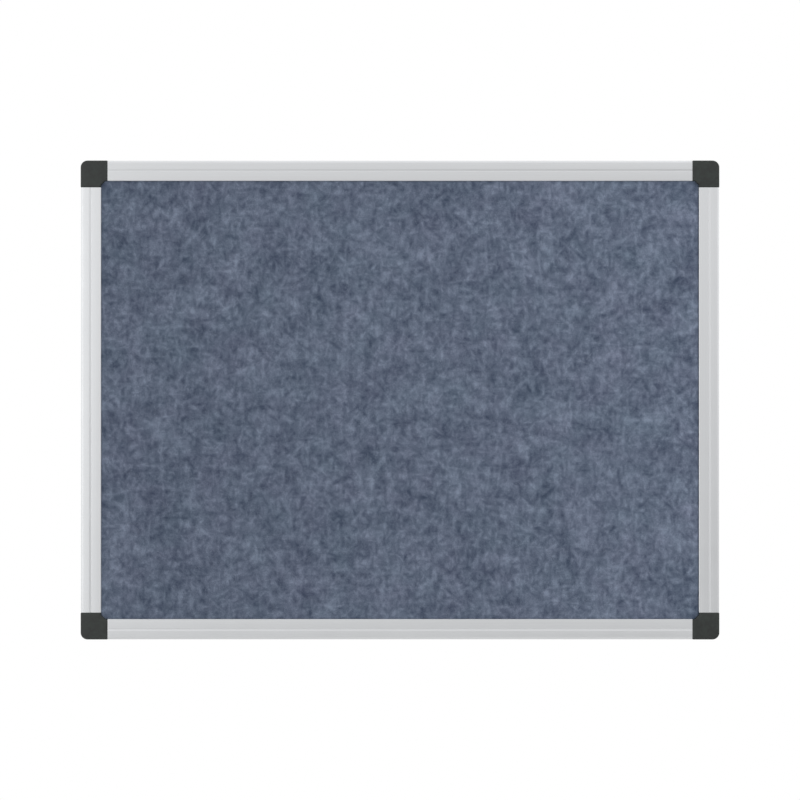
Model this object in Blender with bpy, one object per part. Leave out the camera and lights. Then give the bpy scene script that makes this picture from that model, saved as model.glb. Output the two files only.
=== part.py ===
# Felt noticeboard in an aluminium frame, hung flat on a wall by four screws under its corner caps.
#
# Four extruded rails grip a panel of felt, softboard and a backing sheet in their channels. A moulded
# body in each corner pushes two tongues into the hollow chambers of the rails, and a screw through the
# back of each rail holds the tongue. The wall screw goes through a counterbored boss in the body, and
# a cap on two cross-shaped pins presses on over it.
#
# Metres, +Z up, the felt faces -Y. The origin is the middle of the wall plane that the frame rests on.
#
# A rail, a corner body, a cap and a screw are each drawn once, in a corner's own frame: u runs in from
# one outer edge, v in from the other, and d from the wall to the front.

import math

import bmesh
import bpy
from mathutils import Matrix, Vector

# Whole board
BOARD_WIDTH = 0.600
BOARD_HEIGHT = 0.450
CLEARANCE = 0.0003
OVERRUN = 0.001

# Panel: three sheets held in the channel
BACKING_THICKNESS = 0.0008
SOFTBOARD_THICKNESS = 0.0054
FELT_THICKNESS = 0.0020
FELT_EDGE_RADIUS = 0.0006

# Rail: one extruded section, cut to four lengths
RAIL_WALL = 0.0012
CHAMBER_WIDTH = 0.0085
CHAMBER_RADIUS = 0.0008
REAR_LIP_REACH = 0.0051
FRONT_LIP_REACH = 0.0083
FRONT_LIP_HEIGHT = 0.0020
RAIL_OUTER_RADIUS = 0.0025
RAIL_NOSE_RADIUS = 0.0007
RAIL_EDGE_RADIUS = 0.00025
GROOVE_FROM_EDGE = 0.0080
GROOVE_WIDTH = 0.0022
GROOVE_DEPTH = 0.00035
GROOVE_SLOPE_SHARE = 0.8

# Screw that holds a rail on its tongue, let in from the back
SCREW_HEAD_SUNK = 0.0004
SCREW_TIP_TO_RAIL_FRONT = 0.0038
PILOT_BEYOND_SCREW = 0.0013
RAIL_SCREW_SHANK_RADIUS = 0.00145
RAIL_SCREW_TIP_LENGTH = 0.0018
RAIL_SCREW_TIP_RADIUS = 0.0004
RAIL_SCREW_HEAD_RADIUS = 0.0026
RAIL_SCREW_HEAD_HEIGHT = 0.0011
RAIL_SCREW_HEAD_CROWN_RADIUS = 0.0017
RAIL_SCREW_HEAD_RIM_HEIGHT = 0.0005
RECESS_LENGTH = 0.0027
RECESS_WIDTH = 0.0007
RECESS_DEPTH = 0.0007

# Corner body: moulded block, open at the front, that joins two rails
CORNER_OVERHANG = 0.0058
CORNER_RADIUS = 0.0065
CORNER_CHAMFER_SHARE = 0.66
BODY_WALL = 0.0016
COVER_PLATE_THICKNESS = 0.0011
SCREW_POCKET_FROM_WALL = 0.0010
SCREW_HOLE_RADIUS = 0.0030
SCREW_BOSS_WALL = 0.0012
SCREW_POCKET_RADIUS = 0.0044
SCREW_POCKET_DEPTH = 0.0050
SCREW_SEAT_DEPTH = 0.0014
SCREW_SEAT_LAND = 0.0021
SOCKET_FROM_END_WALL = 0.0015
SOCKET_WALL = 0.0012
SOCKET_TOP_DROP = 0.0020
SOCKET_FLOOR = 0.0016
BODY_RIB_THICKNESS = 0.0012
BODY_RIB_HEIGHT = 0.0045

# Tongue: the arm of a corner body that slides into a rail's chamber
TONGUE_LENGTH = 0.0300
TONGUE_WALL = 0.0014
TONGUE_FLOOR = 0.0016
TONGUE_TAPER_LENGTH = 0.0030
TONGUE_TAPER_INSET = 0.0007
TONGUE_ROOT_SOLID = 0.0020
TONGUE_BLOCK_LENGTH = 0.0070
TONGUE_TIP_SOLID = 0.0045

# Corner cap: moulded lid over the corner body
CAP_PLATE_THICKNESS = 0.0017
CAP_SKIRT_THICKNESS = 0.0016
CAP_SKIRT_DEPTH = 0.0038
CAP_EDGE_RADIUS = 0.0011
PIN_RADIUS = 0.0014
PIN_BLADE_THICKNESS = 0.0009
PIN_END_GAP = 0.0020
PIN_TAPER_LENGTH = 0.0012
PIN_TAPER_SHARE = 0.55
PRY_NOTCH_FROM_EDGE = 0.0140
PRY_NOTCH_RADIUS = 0.0014
CAP_RIB_THICKNESS = 0.0009
CAP_RIB_HEIGHT = 0.0012

# Facets
FINE_STEPS = 3
FILLET_STEPS = 5
CORNER_STEPS = 10
BEVEL_STEPS = 3
ROUND_STEPS = 24
SHADE_ANGLE = math.radians(30)

# Places across the rail, from the board's outer edge
WEB_FACE = RAIL_WALL + CHAMBER_WIDTH + RAIL_WALL
REAR_LIP_END = WEB_FACE + REAR_LIP_REACH
RAIL_FACE = WEB_FACE + FRONT_LIP_REACH
CHAMBER_MIDDLE = RAIL_WALL + CHAMBER_WIDTH / 2
PANEL_EDGE = WEB_FACE + CLEARANCE
CORNER_LEG = RAIL_FACE + CORNER_OVERHANG
RAIL_START = CORNER_LEG + CLEARANCE
TONGUE_END = CORNER_LEG + TONGUE_LENGTH
RAIL_SCREW_PLACE = (CORNER_LEG + TONGUE_ROOT_SOLID + TONGUE_END - TONGUE_TIP_SOLID) / 2

# Heights from the wall plane
SCREW_HEAD_TOP = SCREW_HEAD_SUNK + RAIL_SCREW_HEAD_HEIGHT
FLANGE_STANDOFF = SCREW_HEAD_TOP + CLEARANCE
FLANGE_FRONT = FLANGE_STANDOFF + RAIL_WALL
BACKING_REAR = FLANGE_FRONT + CLEARANCE
SOFTBOARD_REAR = BACKING_REAR + BACKING_THICKNESS + CLEARANCE
FELT_REAR = SOFTBOARD_REAR + SOFTBOARD_THICKNESS + CLEARANCE
FELT_FRONT = FELT_REAR + FELT_THICKNESS
NOSE_UNDERSIDE = FELT_FRONT + CLEARANCE
FRAME_DEPTH = NOSE_UNDERSIDE + FRONT_LIP_HEIGHT
CHAMBER_FRONT = FRAME_DEPTH - RAIL_WALL
RAIL_SCREW_END = CHAMBER_FRONT - SCREW_TIP_TO_RAIL_FRONT
BODY_FRONT = NOSE_UNDERSIDE + COVER_PLATE_THICKNESS
CAP_REAR = BODY_FRONT + CLEARANCE
CAP_FRONT = CAP_REAR + CAP_PLATE_THICKNESS
SKIRT_REAR = CAP_REAR - CAP_SKIRT_DEPTH

# Screw boss and cap sockets
SCREW_INSET = BODY_WALL + SCREW_POCKET_FROM_WALL + SCREW_POCKET_RADIUS
SCREW_POCKET_FLOOR = SCREW_SEAT_LAND + SCREW_SEAT_DEPTH
SCREW_BOSS_TOP = SCREW_POCKET_FLOOR + SCREW_POCKET_DEPTH
SOCKET_RADIUS = PIN_RADIUS + CLEARANCE
SOCKET_PLACE = CORNER_LEG - BODY_WALL - SOCKET_FROM_END_WALL - SOCKET_WALL - SOCKET_RADIUS
SOCKET_TOP = BODY_FRONT - SOCKET_TOP_DROP
SOCKET_BOTTOM = FLANGE_FRONT + SOCKET_FLOOR
PIN_END = SOCKET_BOTTOM + PIN_END_GAP

# u, v and d of each corner's frame, and the rail that starts there with the length it runs along
CORNERS = {
    "top_left": (Vector((0, 0, -1)), Vector((1, 0, 0)), "top", BOARD_WIDTH),
    "top_right": (Vector((-1, 0, 0)), Vector((0, 0, -1)), "right", BOARD_HEIGHT),
    "bottom_right": (Vector((0, 0, 1)), Vector((-1, 0, 0)), "bottom", BOARD_WIDTH),
    "bottom_left": (Vector((1, 0, 0)), Vector((0, 0, 1)), "left", BOARD_HEIGHT),
}


def clear_scene():
    for old in list(bpy.data.objects):
        bpy.data.objects.remove(old, do_unlink=True)


def finish_of(name, colour, roughness, metallic=0.0):
    """A Principled material of one colour, as linear red, green and blue."""
    made = bpy.data.materials.new(name)
    made.use_nodes = True
    shader = made.node_tree.nodes["Principled BSDF"]
    shader.inputs["Base Color"].default_value = (*colour, 1)
    shader.inputs["Roughness"].default_value = roughness
    shader.inputs["Metallic"].default_value = metallic
    return made


def filleted(corners, steps=FILLET_STEPS):
    """The outline through corners (x, y, radius), counter-clockwise or not, with an arc at each radius."""
    outline = []
    for at, (x, y, radius) in enumerate(corners):
        corner = Vector((x, y))
        if radius <= 0:
            outline.append(corner)
            continue
        before = Vector(corners[at - 1][:2]) - corner
        after = Vector(corners[(at + 1) % len(corners)][:2]) - corner
        half = before.angle(after) / 2
        bisector = (before.normalized() + after.normalized()).normalized()
        centre = corner + bisector * radius / math.sin(half)
        start = corner + before.normalized() * radius / math.tan(half) - centre
        turn = start.angle_signed(corner + after.normalized() * radius / math.tan(half) - centre)
        for step in range(steps + 1):
            outline.append(centre + Matrix.Rotation(-turn * step / steps, 2) @ start)
    return outline


def rectangle(low, high, radius=0.0, steps=FINE_STEPS):
    """A rectangle's outline between two corners, with rounded corners if a radius is given."""
    (x0, y0), (x1, y1) = low, high
    return filleted([(x0, y0, radius), (x1, y0, radius), (x1, y1, radius), (x0, y1, radius)], steps)


def circle(middle, radius, steps=ROUND_STEPS):
    return [
        Vector(middle) + Vector((math.cos(angle), math.sin(angle))) * radius
        for angle in (math.tau * step / steps for step in range(steps))
    ]


def loft(sections, plane="uv"):
    """A closed mesh through outlines of equally many points, each at its own height.

    In plane "uv" the outlines lie flat and the height is d. In plane "ud" they stand across the
    board, as a rail's section does, and the height is v.
    """
    shape = bmesh.new()
    rings = []
    for outline, height in sections:
        points = [(x, y, height) if plane == "uv" else (x, height, y) for x, y in outline]
        rings.append([shape.verts.new(point) for point in points])
    for lower, upper in zip(rings, rings[1:]):
        for at in range(len(lower)):
            after = (at + 1) % len(lower)
            shape.faces.new((lower[at], lower[after], upper[after], upper[at]))
    shape.faces.new(rings[0])
    shape.faces.new(rings[-1])
    bmesh.ops.recalc_face_normals(shape, faces=shape.faces)
    made = bpy.data.meshes.new("loft")
    shape.to_mesh(made)
    shape.free()
    return made


def prism(outline, low, high, plane="uv"):
    return loft([(outline, low), (outline, high)], plane)


def turned(middle, profile, steps=ROUND_STEPS):
    """A turned solid on an axis along d, through (radius, height) pairs."""
    return loft([(circle(middle, radius, steps), height) for radius, height in profile])


def carve(mesh, joins=(), cuts=()):
    """The mesh with others joined to it and then others cut from it."""
    stock = bpy.data.objects.new("stock", mesh)
    bpy.context.scene.collection.objects.link(stock)
    tools = []
    for operation, others in (("UNION", joins), ("DIFFERENCE", cuts)):
        for other in others:
            tool = bpy.data.objects.new("tool", other)
            bpy.context.scene.collection.objects.link(tool)
            tools.append(tool)
            boolean = stock.modifiers.new(operation.title(), "BOOLEAN")
            boolean.operation = operation
            boolean.object = tool
    bpy.context.view_layer.update()
    graph = bpy.context.evaluated_depsgraph_get()
    made = bpy.data.meshes.new_from_object(stock.evaluated_get(graph))
    for old in [stock, *tools]:
        bpy.data.objects.remove(old, do_unlink=True)
    return made


def rounded_front(mesh, front, radius):
    """The mesh with the edges of its front face, at height front, rounded over."""
    shape = bmesh.new()
    shape.from_mesh(mesh)
    rim = [edge for edge in shape.edges if all(abs(end.co.z - front) < CLEARANCE / 2 for end in edge.verts)]
    bmesh.ops.bevel(
        shape,
        geom=rim,
        offset=radius,
        offset_type="OFFSET",
        segments=BEVEL_STEPS,
        profile=0.5,
        affect="EDGES",
        clamp_overlap=True,
    )
    shape.to_mesh(mesh)
    shape.free()
    return mesh


def place(name, mesh, finish, parent):
    """One named piece, made of one mesh and one material, in its parent's frame."""
    piece = bpy.data.objects.new(name, mesh)
    bpy.context.scene.collection.objects.link(piece)
    if not mesh.materials:
        mesh.materials.append(finish)
        mesh.shade_smooth()
        mesh.set_sharp_from_angle(angle=SHADE_ANGLE)
    piece.parent = parent
    return piece


def corner_frame(name, along_u, along_v):
    """An empty at a corner of the board on the wall plane, its axes along u, v and d."""
    along_d = along_u.cross(along_v)
    inwards = along_u + along_v
    corner = Vector((-inwards.x * BOARD_WIDTH / 2, 0, -inwards.z * BOARD_HEIGHT / 2))
    frame = bpy.data.objects.new("frame_" + name, None)
    bpy.context.scene.collection.objects.link(frame)
    frame.rotation_euler = Matrix((along_u, along_v, along_d)).transposed().to_euler()
    frame.location = corner
    return frame


def rail_section():
    """The extrusion's outer line in u and d: foot, rounded outer edge, groove, hooked lip, channel, feet.

    The groove's outer side slopes gently and its inner side is steep. The lip hooks down to the felt.
    """
    groove_low = GROOVE_FROM_EDGE + GROOVE_WIDTH * GROOVE_SLOPE_SHARE
    groove_end = GROOVE_FROM_EDGE + GROOVE_WIDTH
    hook_inner = RAIL_FACE - RAIL_WALL
    foot_inner = REAR_LIP_END - RAIL_WALL
    return filleted(
        [
            (0, 0, RAIL_EDGE_RADIUS),
            (0, FRAME_DEPTH, RAIL_OUTER_RADIUS),
            (GROOVE_FROM_EDGE, FRAME_DEPTH, 0),
            (groove_low, FRAME_DEPTH - GROOVE_DEPTH, 0),
            (groove_end, FRAME_DEPTH, 0),
            (RAIL_FACE, FRAME_DEPTH, RAIL_NOSE_RADIUS),
            (RAIL_FACE, NOSE_UNDERSIDE, RAIL_EDGE_RADIUS),
            (hook_inner, NOSE_UNDERSIDE, RAIL_EDGE_RADIUS),
            (hook_inner, CHAMBER_FRONT, RAIL_EDGE_RADIUS),
            (WEB_FACE, CHAMBER_FRONT, RAIL_EDGE_RADIUS),
            (WEB_FACE, FLANGE_FRONT, RAIL_EDGE_RADIUS),
            (REAR_LIP_END, FLANGE_FRONT, RAIL_EDGE_RADIUS),
            (REAR_LIP_END, 0, RAIL_EDGE_RADIUS),
            (foot_inner, 0, RAIL_EDGE_RADIUS),
            (foot_inner, FLANGE_STANDOFF, RAIL_EDGE_RADIUS),
            (RAIL_WALL, FLANGE_STANDOFF, RAIL_EDGE_RADIUS),
            (RAIL_WALL, 0, RAIL_EDGE_RADIUS),
        ]
    )


def rail_mesh(length):
    """A rail cut square between two corners: its chamber runs through, and two screw holes pierce its back."""
    end = length - RAIL_START
    bar = prism(rail_section(), RAIL_START, end, "ud")
    chamber_low = (RAIL_WALL, FLANGE_FRONT)
    chamber_high = (RAIL_WALL + CHAMBER_WIDTH, CHAMBER_FRONT)
    chamber = prism(
        rectangle(chamber_low, chamber_high, CHAMBER_RADIUS),
        RAIL_START - OVERRUN,
        end + OVERRUN,
        "ud",
    )
    hole_radius = RAIL_SCREW_SHANK_RADIUS + CLEARANCE
    holes = [
        prism(
            circle((CHAMBER_MIDDLE, place_along), hole_radius),
            FLANGE_STANDOFF - OVERRUN,
            FLANGE_FRONT + OVERRUN,
        )
        for place_along in (RAIL_SCREW_PLACE, length - RAIL_SCREW_PLACE)
    ]
    return carve(bar, cuts=[chamber, *holes])


def corner_outline(inner, chamfer=0.0):
    """The L of a corner: rounded outside, notched inside at the given distance from both outer edges.

    A chamfer takes the notch's own corner off on the slant.
    """
    notch = [(inner + chamfer, inner, 0), (inner, inner + chamfer, 0)] if chamfer else [(inner, inner, 0)]
    return filleted(
        [
            (0, 0, CORNER_RADIUS),
            (CORNER_LEG, 0, 0),
            (CORNER_LEG, inner, 0),
            *notch,
            (inner, CORNER_LEG, 0),
            (0, CORNER_LEG, 0),
        ],
        CORNER_STEPS,
    )


def visible_outline():
    """The L that the photograph shows: the width of both rails, with a slanting inner corner."""
    return corner_outline(RAIL_FACE, CORNER_OVERHANG * CORNER_CHAMFER_SHARE)


def edge_band(thickness):
    """A band along a corner's two outer edges, of the given thickness and overrunning outside."""
    far = CORNER_LEG + OVERRUN
    inner_radius = max(CORNER_RADIUS - thickness, CLEARANCE)
    return filleted(
        [
            (-OVERRUN, -OVERRUN, 0),
            (far, -OVERRUN, 0),
            (far, thickness, 0),
            (thickness, thickness, inner_radius),
            (thickness, far, 0),
            (-OVERRUN, far, 0),
        ],
        CORNER_STEPS,
    )


def swapped(outline):
    """An outline mirrored across a corner's diagonal."""
    return [Vector((y, x)) for x, y in reversed(outline)]


def both_ways(build, *details):
    """The two copies of a piece's feature that lie mirrored across the corner's diagonal."""
    return [build(False, *details), build(True, *details)]


def box_along(mirrored, low, high, bottom, top):
    outline = rectangle(low, high)
    return prism(swapped(outline) if mirrored else outline, bottom, top)


def round_along(mirrored, u, v, profile, steps=ROUND_STEPS):
    return turned((v, u) if mirrored else (u, v), profile, steps)


def tongue(mirrored):
    """One arm's outside: the chamber's section less its clearance, drawn in at the tip as a lead."""
    low = Vector((RAIL_WALL + CLEARANCE, FLANGE_FRONT + CLEARANCE))
    high = Vector((RAIL_WALL + CHAMBER_WIDTH - CLEARANCE, CHAMBER_FRONT - CLEARANCE))
    inset = Vector((TONGUE_TAPER_INSET, TONGUE_TAPER_INSET))
    full = rectangle(low, high, CHAMBER_RADIUS)
    tip = rectangle(low + inset, high - inset, CHAMBER_RADIUS)
    root = CORNER_LEG - BODY_WALL / 2
    made = loft([(full, root), (full, TONGUE_END - TONGUE_TAPER_LENGTH), (tip, TONGUE_END)], "ud")
    if mirrored:
        made.transform(Matrix(((0, 1, 0, 0), (1, 0, 0, 0), (0, 0, 1, 0), (0, 0, 0, 1))))
        made.flip_normals()
    return made


def tongue_pocket(mirrored, start, end):
    """A hollow in the front of a tongue between two of its solid lengths."""
    side = CLEARANCE + TONGUE_WALL
    low = (RAIL_WALL + side, start)
    high = (RAIL_WALL + CHAMBER_WIDTH - side, end)
    floor = FLANGE_FRONT + CLEARANCE + TONGUE_FLOOR
    return box_along(mirrored, low, high, floor, CHAMBER_FRONT + OVERRUN)


def body_mesh():
    """The corner body: an L-shaped tray with the screw boss and two pin sockets, and a tongue on each leg."""
    tall = BODY_FRONT + OVERRUN
    tray = prism(corner_outline(WEB_FACE), 0, tall)
    base = prism(corner_outline(REAR_LIP_END), 0, FLANGE_FRONT)
    cover = prism(visible_outline(), NOSE_UNDERSIDE, tall)
    seat = prism(
        rectangle((-OVERRUN, -OVERRUN), (CORNER_LEG, CORNER_LEG)), BODY_FRONT, CAP_FRONT + OVERRUN
    )
    inner_radius = max(CORNER_RADIUS - BODY_WALL, CLEARANCE)
    inner_end = CORNER_LEG - BODY_WALL
    inner_notch = WEB_FACE - BODY_WALL
    hollow = prism(
        filleted(
            [
                (BODY_WALL, BODY_WALL, inner_radius),
                (inner_end, BODY_WALL, 0),
                (inner_end, inner_notch, 0),
                (inner_notch, inner_notch, 0),
                (inner_notch, inner_end, 0),
                (BODY_WALL, inner_end, 0),
            ],
            CORNER_STEPS,
        ),
        FLANGE_FRONT,
        CAP_FRONT,
    )
    shell = carve(tray, joins=[base, cover, *both_ways(tongue)], cuts=[seat, hollow])
    root = FLANGE_FRONT - OVERRUN
    boss_radius = SCREW_POCKET_RADIUS + SCREW_BOSS_WALL
    boss = turned((SCREW_INSET, SCREW_INSET), [(boss_radius, root), (boss_radius, SCREW_BOSS_TOP)])
    socket_outside = SOCKET_RADIUS + SOCKET_WALL
    sockets = both_ways(
        round_along,
        CHAMBER_MIDDLE,
        SOCKET_PLACE,
        [(socket_outside, root), (socket_outside, SOCKET_TOP)],
    )
    ribs = both_ways(
        box_along,
        (CHAMBER_MIDDLE - BODY_RIB_THICKNESS / 2, SCREW_INSET),
        (CHAMBER_MIDDLE + BODY_RIB_THICKNESS / 2, CORNER_LEG - BODY_WALL / 2),
        root,
        FLANGE_FRONT + BODY_RIB_HEIGHT,
    )
    screw_way = turned(
        (SCREW_INSET, SCREW_INSET),
        [
            (SCREW_HOLE_RADIUS, -OVERRUN),
            (SCREW_HOLE_RADIUS, SCREW_SEAT_LAND),
            (SCREW_POCKET_RADIUS, SCREW_POCKET_FLOOR),
            (SCREW_POCKET_RADIUS, CAP_FRONT),
        ],
    )
    socket_ways = both_ways(
        round_along,
        CHAMBER_MIDDLE,
        SOCKET_PLACE,
        [(SOCKET_RADIUS, SOCKET_BOTTOM), (SOCKET_RADIUS, CAP_FRONT)],
    )
    block_start = RAIL_SCREW_PLACE - TONGUE_BLOCK_LENGTH / 2
    block_end = RAIL_SCREW_PLACE + TONGUE_BLOCK_LENGTH / 2
    pockets = both_ways(tongue_pocket, CORNER_LEG + TONGUE_ROOT_SOLID, block_start)
    pockets += both_ways(tongue_pocket, block_end, TONGUE_END - TONGUE_TIP_SOLID)
    pilot_radius = RAIL_SCREW_SHANK_RADIUS + CLEARANCE
    pilots = both_ways(
        round_along,
        CHAMBER_MIDDLE,
        RAIL_SCREW_PLACE,
        [(pilot_radius, FLANGE_FRONT), (pilot_radius, RAIL_SCREW_END + PILOT_BEYOND_SCREW)],
    )
    rebate = prism(edge_band(CAP_SKIRT_THICKNESS + CLEARANCE), SKIRT_REAR - CLEARANCE, CAP_FRONT)
    return carve(
        shell,
        joins=[boss, *sockets, *ribs],
        cuts=[screw_way, *socket_ways, *pockets, *pilots, rebate],
    )


def pin_blade(mirrored, across):
    """One blade of a cap's cross-shaped pin, tapered at its tip. Two blades at right angles make a pin."""
    wide = PIN_RADIUS
    thin = PIN_BLADE_THICKNESS / 2
    half = Vector((thin, wide)) if across else Vector((wide, thin))
    middle = Vector((CHAMBER_MIDDLE, SOCKET_PLACE))
    full = rectangle(middle - half, middle + half)
    tip = rectangle(middle - half * PIN_TAPER_SHARE, middle + half * PIN_TAPER_SHARE)
    root = CAP_REAR + CAP_PLATE_THICKNESS / 2
    sections = [(tip, PIN_END), (full, PIN_END + PIN_TAPER_LENGTH), (full, root)]
    if mirrored:
        sections = [(swapped(outline), height) for outline, height in sections]
    return loft(sections)


def pry_notch(mirrored):
    """A half-round notch in the skirt's lower edge, where a blade lifts the cap."""
    outline = circle((PRY_NOTCH_FROM_EDGE, SKIRT_REAR), PRY_NOTCH_RADIUS)
    made = loft([(outline, -OVERRUN), (outline, CAP_SKIRT_THICKNESS + OVERRUN)], "ud")
    if mirrored:
        made.transform(Matrix(((0, 1, 0, 0), (1, 0, 0, 0), (0, 0, 1, 0), (0, 0, 0, 1))))
        made.flip_normals()
    return made


def cap_mesh():
    """The cap: a plate with a skirt on its two outer sides, stiffening ribs, and a pin over each socket."""
    lid = rounded_front(prism(visible_outline(), SKIRT_REAR, CAP_FRONT), CAP_FRONT, CAP_EDGE_RADIUS)
    far = CORNER_LEG + OVERRUN
    inner_radius = max(CORNER_RADIUS - CAP_SKIRT_THICKNESS, CLEARANCE)
    hollow = prism(
        filleted(
            [
                (CAP_SKIRT_THICKNESS, CAP_SKIRT_THICKNESS, inner_radius),
                (far, CAP_SKIRT_THICKNESS, 0),
                (far, far, 0),
                (CAP_SKIRT_THICKNESS, far, 0),
            ],
            CORNER_STEPS,
        ),
        SKIRT_REAR - OVERRUN,
        CAP_REAR,
    )
    lid = carve(lid, cuts=[hollow, *both_ways(pry_notch)])
    ribs = both_ways(
        box_along,
        (CHAMBER_MIDDLE - CAP_RIB_THICKNESS / 2, CAP_SKIRT_THICKNESS / 2),
        (CHAMBER_MIDDLE + CAP_RIB_THICKNESS / 2, SOCKET_PLACE),
        CAP_REAR - CAP_RIB_HEIGHT,
        CAP_REAR + CAP_PLATE_THICKNESS / 2,
    )
    blades = both_ways(pin_blade, False) + both_ways(pin_blade, True)
    return carve(lid, joins=[*ribs, *blades])


def rail_screw_mesh():
    """A self-tapping pan-head screw with a cross recess, standing on the u and v origin."""
    blank = turned(
        (0, 0),
        [
            (RAIL_SCREW_HEAD_CROWN_RADIUS, SCREW_HEAD_SUNK),
            (RAIL_SCREW_HEAD_RADIUS, SCREW_HEAD_TOP - RAIL_SCREW_HEAD_RIM_HEIGHT),
            (RAIL_SCREW_HEAD_RADIUS, SCREW_HEAD_TOP),
            (RAIL_SCREW_SHANK_RADIUS, SCREW_HEAD_TOP),
            (RAIL_SCREW_SHANK_RADIUS, RAIL_SCREW_END - RAIL_SCREW_TIP_LENGTH),
            (RAIL_SCREW_TIP_RADIUS, RAIL_SCREW_END),
        ],
    )
    long_half = RECESS_LENGTH / 2
    short_half = RECESS_WIDTH / 2
    slots = [
        prism(rectangle((-u, -v), (u, v)), SCREW_HEAD_SUNK - OVERRUN, SCREW_HEAD_SUNK + RECESS_DEPTH)
        for u, v in ((long_half, short_half), (short_half, long_half))
    ]
    return carve(blank, cuts=slots)


def sheet_mesh(rear, front, edge_radius=0.0):
    """A flat sheet of the panel, its front edges rounded over if a radius is given."""
    low = (PANEL_EDGE, PANEL_EDGE)
    high = (BOARD_WIDTH - PANEL_EDGE, BOARD_HEIGHT - PANEL_EDGE)
    made = prism(rectangle(low, high), rear, front)
    return rounded_front(made, front, edge_radius) if edge_radius else made


def build():
    clear_scene()
    aluminium = finish_of("satin_aluminium", (0.60, 0.61, 0.62), 0.35, 1.0)
    charcoal = finish_of("charcoal_moulding", (0.045, 0.048, 0.047), 0.55)
    felt = finish_of("blue_grey_felt", (0.107, 0.130, 0.181), 0.95)
    softboard = finish_of("softboard", (0.42, 0.30, 0.18), 0.95)
    grey_board = finish_of("grey_board", (0.36, 0.35, 0.32), 0.85)
    zinc = finish_of("zinc_plate", (0.55, 0.56, 0.58), 0.30, 1.0)

    body = body_mesh()
    cap = cap_mesh()
    screw = rail_screw_mesh()
    for name, (along_u, along_v, side, length) in CORNERS.items():
        frame = corner_frame(name, along_u, along_v)
        place("rail_" + side, rail_mesh(length), aluminium, frame)
        place("corner_body_" + name, body, charcoal, frame)
        place("corner_cap_" + name, cap, charcoal, frame)
        first = place("rail_screw_" + side + "_1", screw, zinc, frame)
        first.location = (CHAMBER_MIDDLE, RAIL_SCREW_PLACE, 0)
        second = place("rail_screw_" + side + "_2", screw, zinc, frame)
        second.location = (CHAMBER_MIDDLE, length - RAIL_SCREW_PLACE, 0)
        if name == "bottom_left":
            place("felt_facing", sheet_mesh(FELT_REAR, FELT_FRONT, FELT_EDGE_RADIUS), felt, frame)
            softboard_front = SOFTBOARD_REAR + SOFTBOARD_THICKNESS
            place("softboard_core", sheet_mesh(SOFTBOARD_REAR, softboard_front), softboard, frame)
            backing_front = BACKING_REAR + BACKING_THICKNESS
            place("backing_sheet", sheet_mesh(BACKING_REAR, backing_front), grey_board, frame)


build()
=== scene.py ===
# Wall-hung noticeboard, 600 by 450 mm: heathered felt in a satin aluminium frame with charcoal corner caps.
#
# Metres, +Z up, the felt faces -Y, and the wall plane is y = 0. A piece that repeats at the corners is
# drawn once, in a corner's own frame: u runs in from one outer edge, v in from the other, and d from the
# wall to the front.
import math
import random

import bmesh
import bpy
from mathutils import Matrix, Vector, noise


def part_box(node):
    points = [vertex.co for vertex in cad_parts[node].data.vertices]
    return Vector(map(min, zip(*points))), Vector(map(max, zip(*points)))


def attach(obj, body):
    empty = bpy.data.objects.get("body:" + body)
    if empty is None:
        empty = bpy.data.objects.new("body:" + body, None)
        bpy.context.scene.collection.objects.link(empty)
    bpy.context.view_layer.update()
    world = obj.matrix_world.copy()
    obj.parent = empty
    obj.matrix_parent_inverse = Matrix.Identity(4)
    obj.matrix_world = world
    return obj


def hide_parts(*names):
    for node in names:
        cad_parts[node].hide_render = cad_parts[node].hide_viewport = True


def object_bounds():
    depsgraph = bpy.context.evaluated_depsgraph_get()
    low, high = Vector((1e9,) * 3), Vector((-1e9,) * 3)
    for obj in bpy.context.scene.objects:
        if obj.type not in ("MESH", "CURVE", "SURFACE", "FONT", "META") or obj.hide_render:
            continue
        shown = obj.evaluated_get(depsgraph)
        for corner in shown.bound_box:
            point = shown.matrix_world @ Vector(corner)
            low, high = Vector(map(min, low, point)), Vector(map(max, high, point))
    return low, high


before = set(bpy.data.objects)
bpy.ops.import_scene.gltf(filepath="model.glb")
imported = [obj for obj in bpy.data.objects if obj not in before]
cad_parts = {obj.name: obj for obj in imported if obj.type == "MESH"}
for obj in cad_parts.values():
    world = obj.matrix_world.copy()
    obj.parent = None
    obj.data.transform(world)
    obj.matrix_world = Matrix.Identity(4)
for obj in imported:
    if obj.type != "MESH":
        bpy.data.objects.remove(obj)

cad_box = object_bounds()

# Rails
#
# Four lengths of one extruded 6063 aluminium section, sawn square and satin anodised. The section has a
# shallow groove along its face, a lip that hooks down to the felt, and a hollow chamber for the corner's
# tongue. Each rail is pushed on two tongues and held from the back by two screws.
MM = 0.001
BOARD_WIDTH = cad_box[1].x - cad_box[0].x
BOARD_HEIGHT = cad_box[1].z - cad_box[0].z
# A corner's u and v, the rail that runs from it along v, and how long the board is that way.
CORNERS = {
    "top_left": (Vector((0, 0, -1)), Vector((1, 0, 0)), "top", BOARD_WIDTH),
    "top_right": (Vector((-1, 0, 0)), Vector((0, 0, -1)), "right", BOARD_HEIGHT),
    "bottom_right": (Vector((0, 0, 1)), Vector((-1, 0, 0)), "bottom", BOARD_WIDTH),
    "bottom_left": (Vector((1, 0, 0)), Vector((0, 0, 1)), "left", BOARD_HEIGHT),
}
OVERRUN = 1 * MM
RAIL_LOW, RAIL_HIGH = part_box("rail_top")
RAIL_FACE = RAIL_HIGH.z - RAIL_LOW.z
RAIL_DEPTH = RAIL_HIGH.y - RAIL_LOW.y
RAIL_START = (BOARD_WIDTH - RAIL_HIGH.x + RAIL_LOW.x) / 2
RAIL_WALL = 1.2 * MM
CHAMBER_WIDTH = 8.5 * MM
CHAMBER_RADIUS = 0.8 * MM
FLANGE_STANDOFF = 1.8 * MM
REAR_LIP_REACH = 5.1 * MM
LIP_HEIGHT = 2.0 * MM
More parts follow.
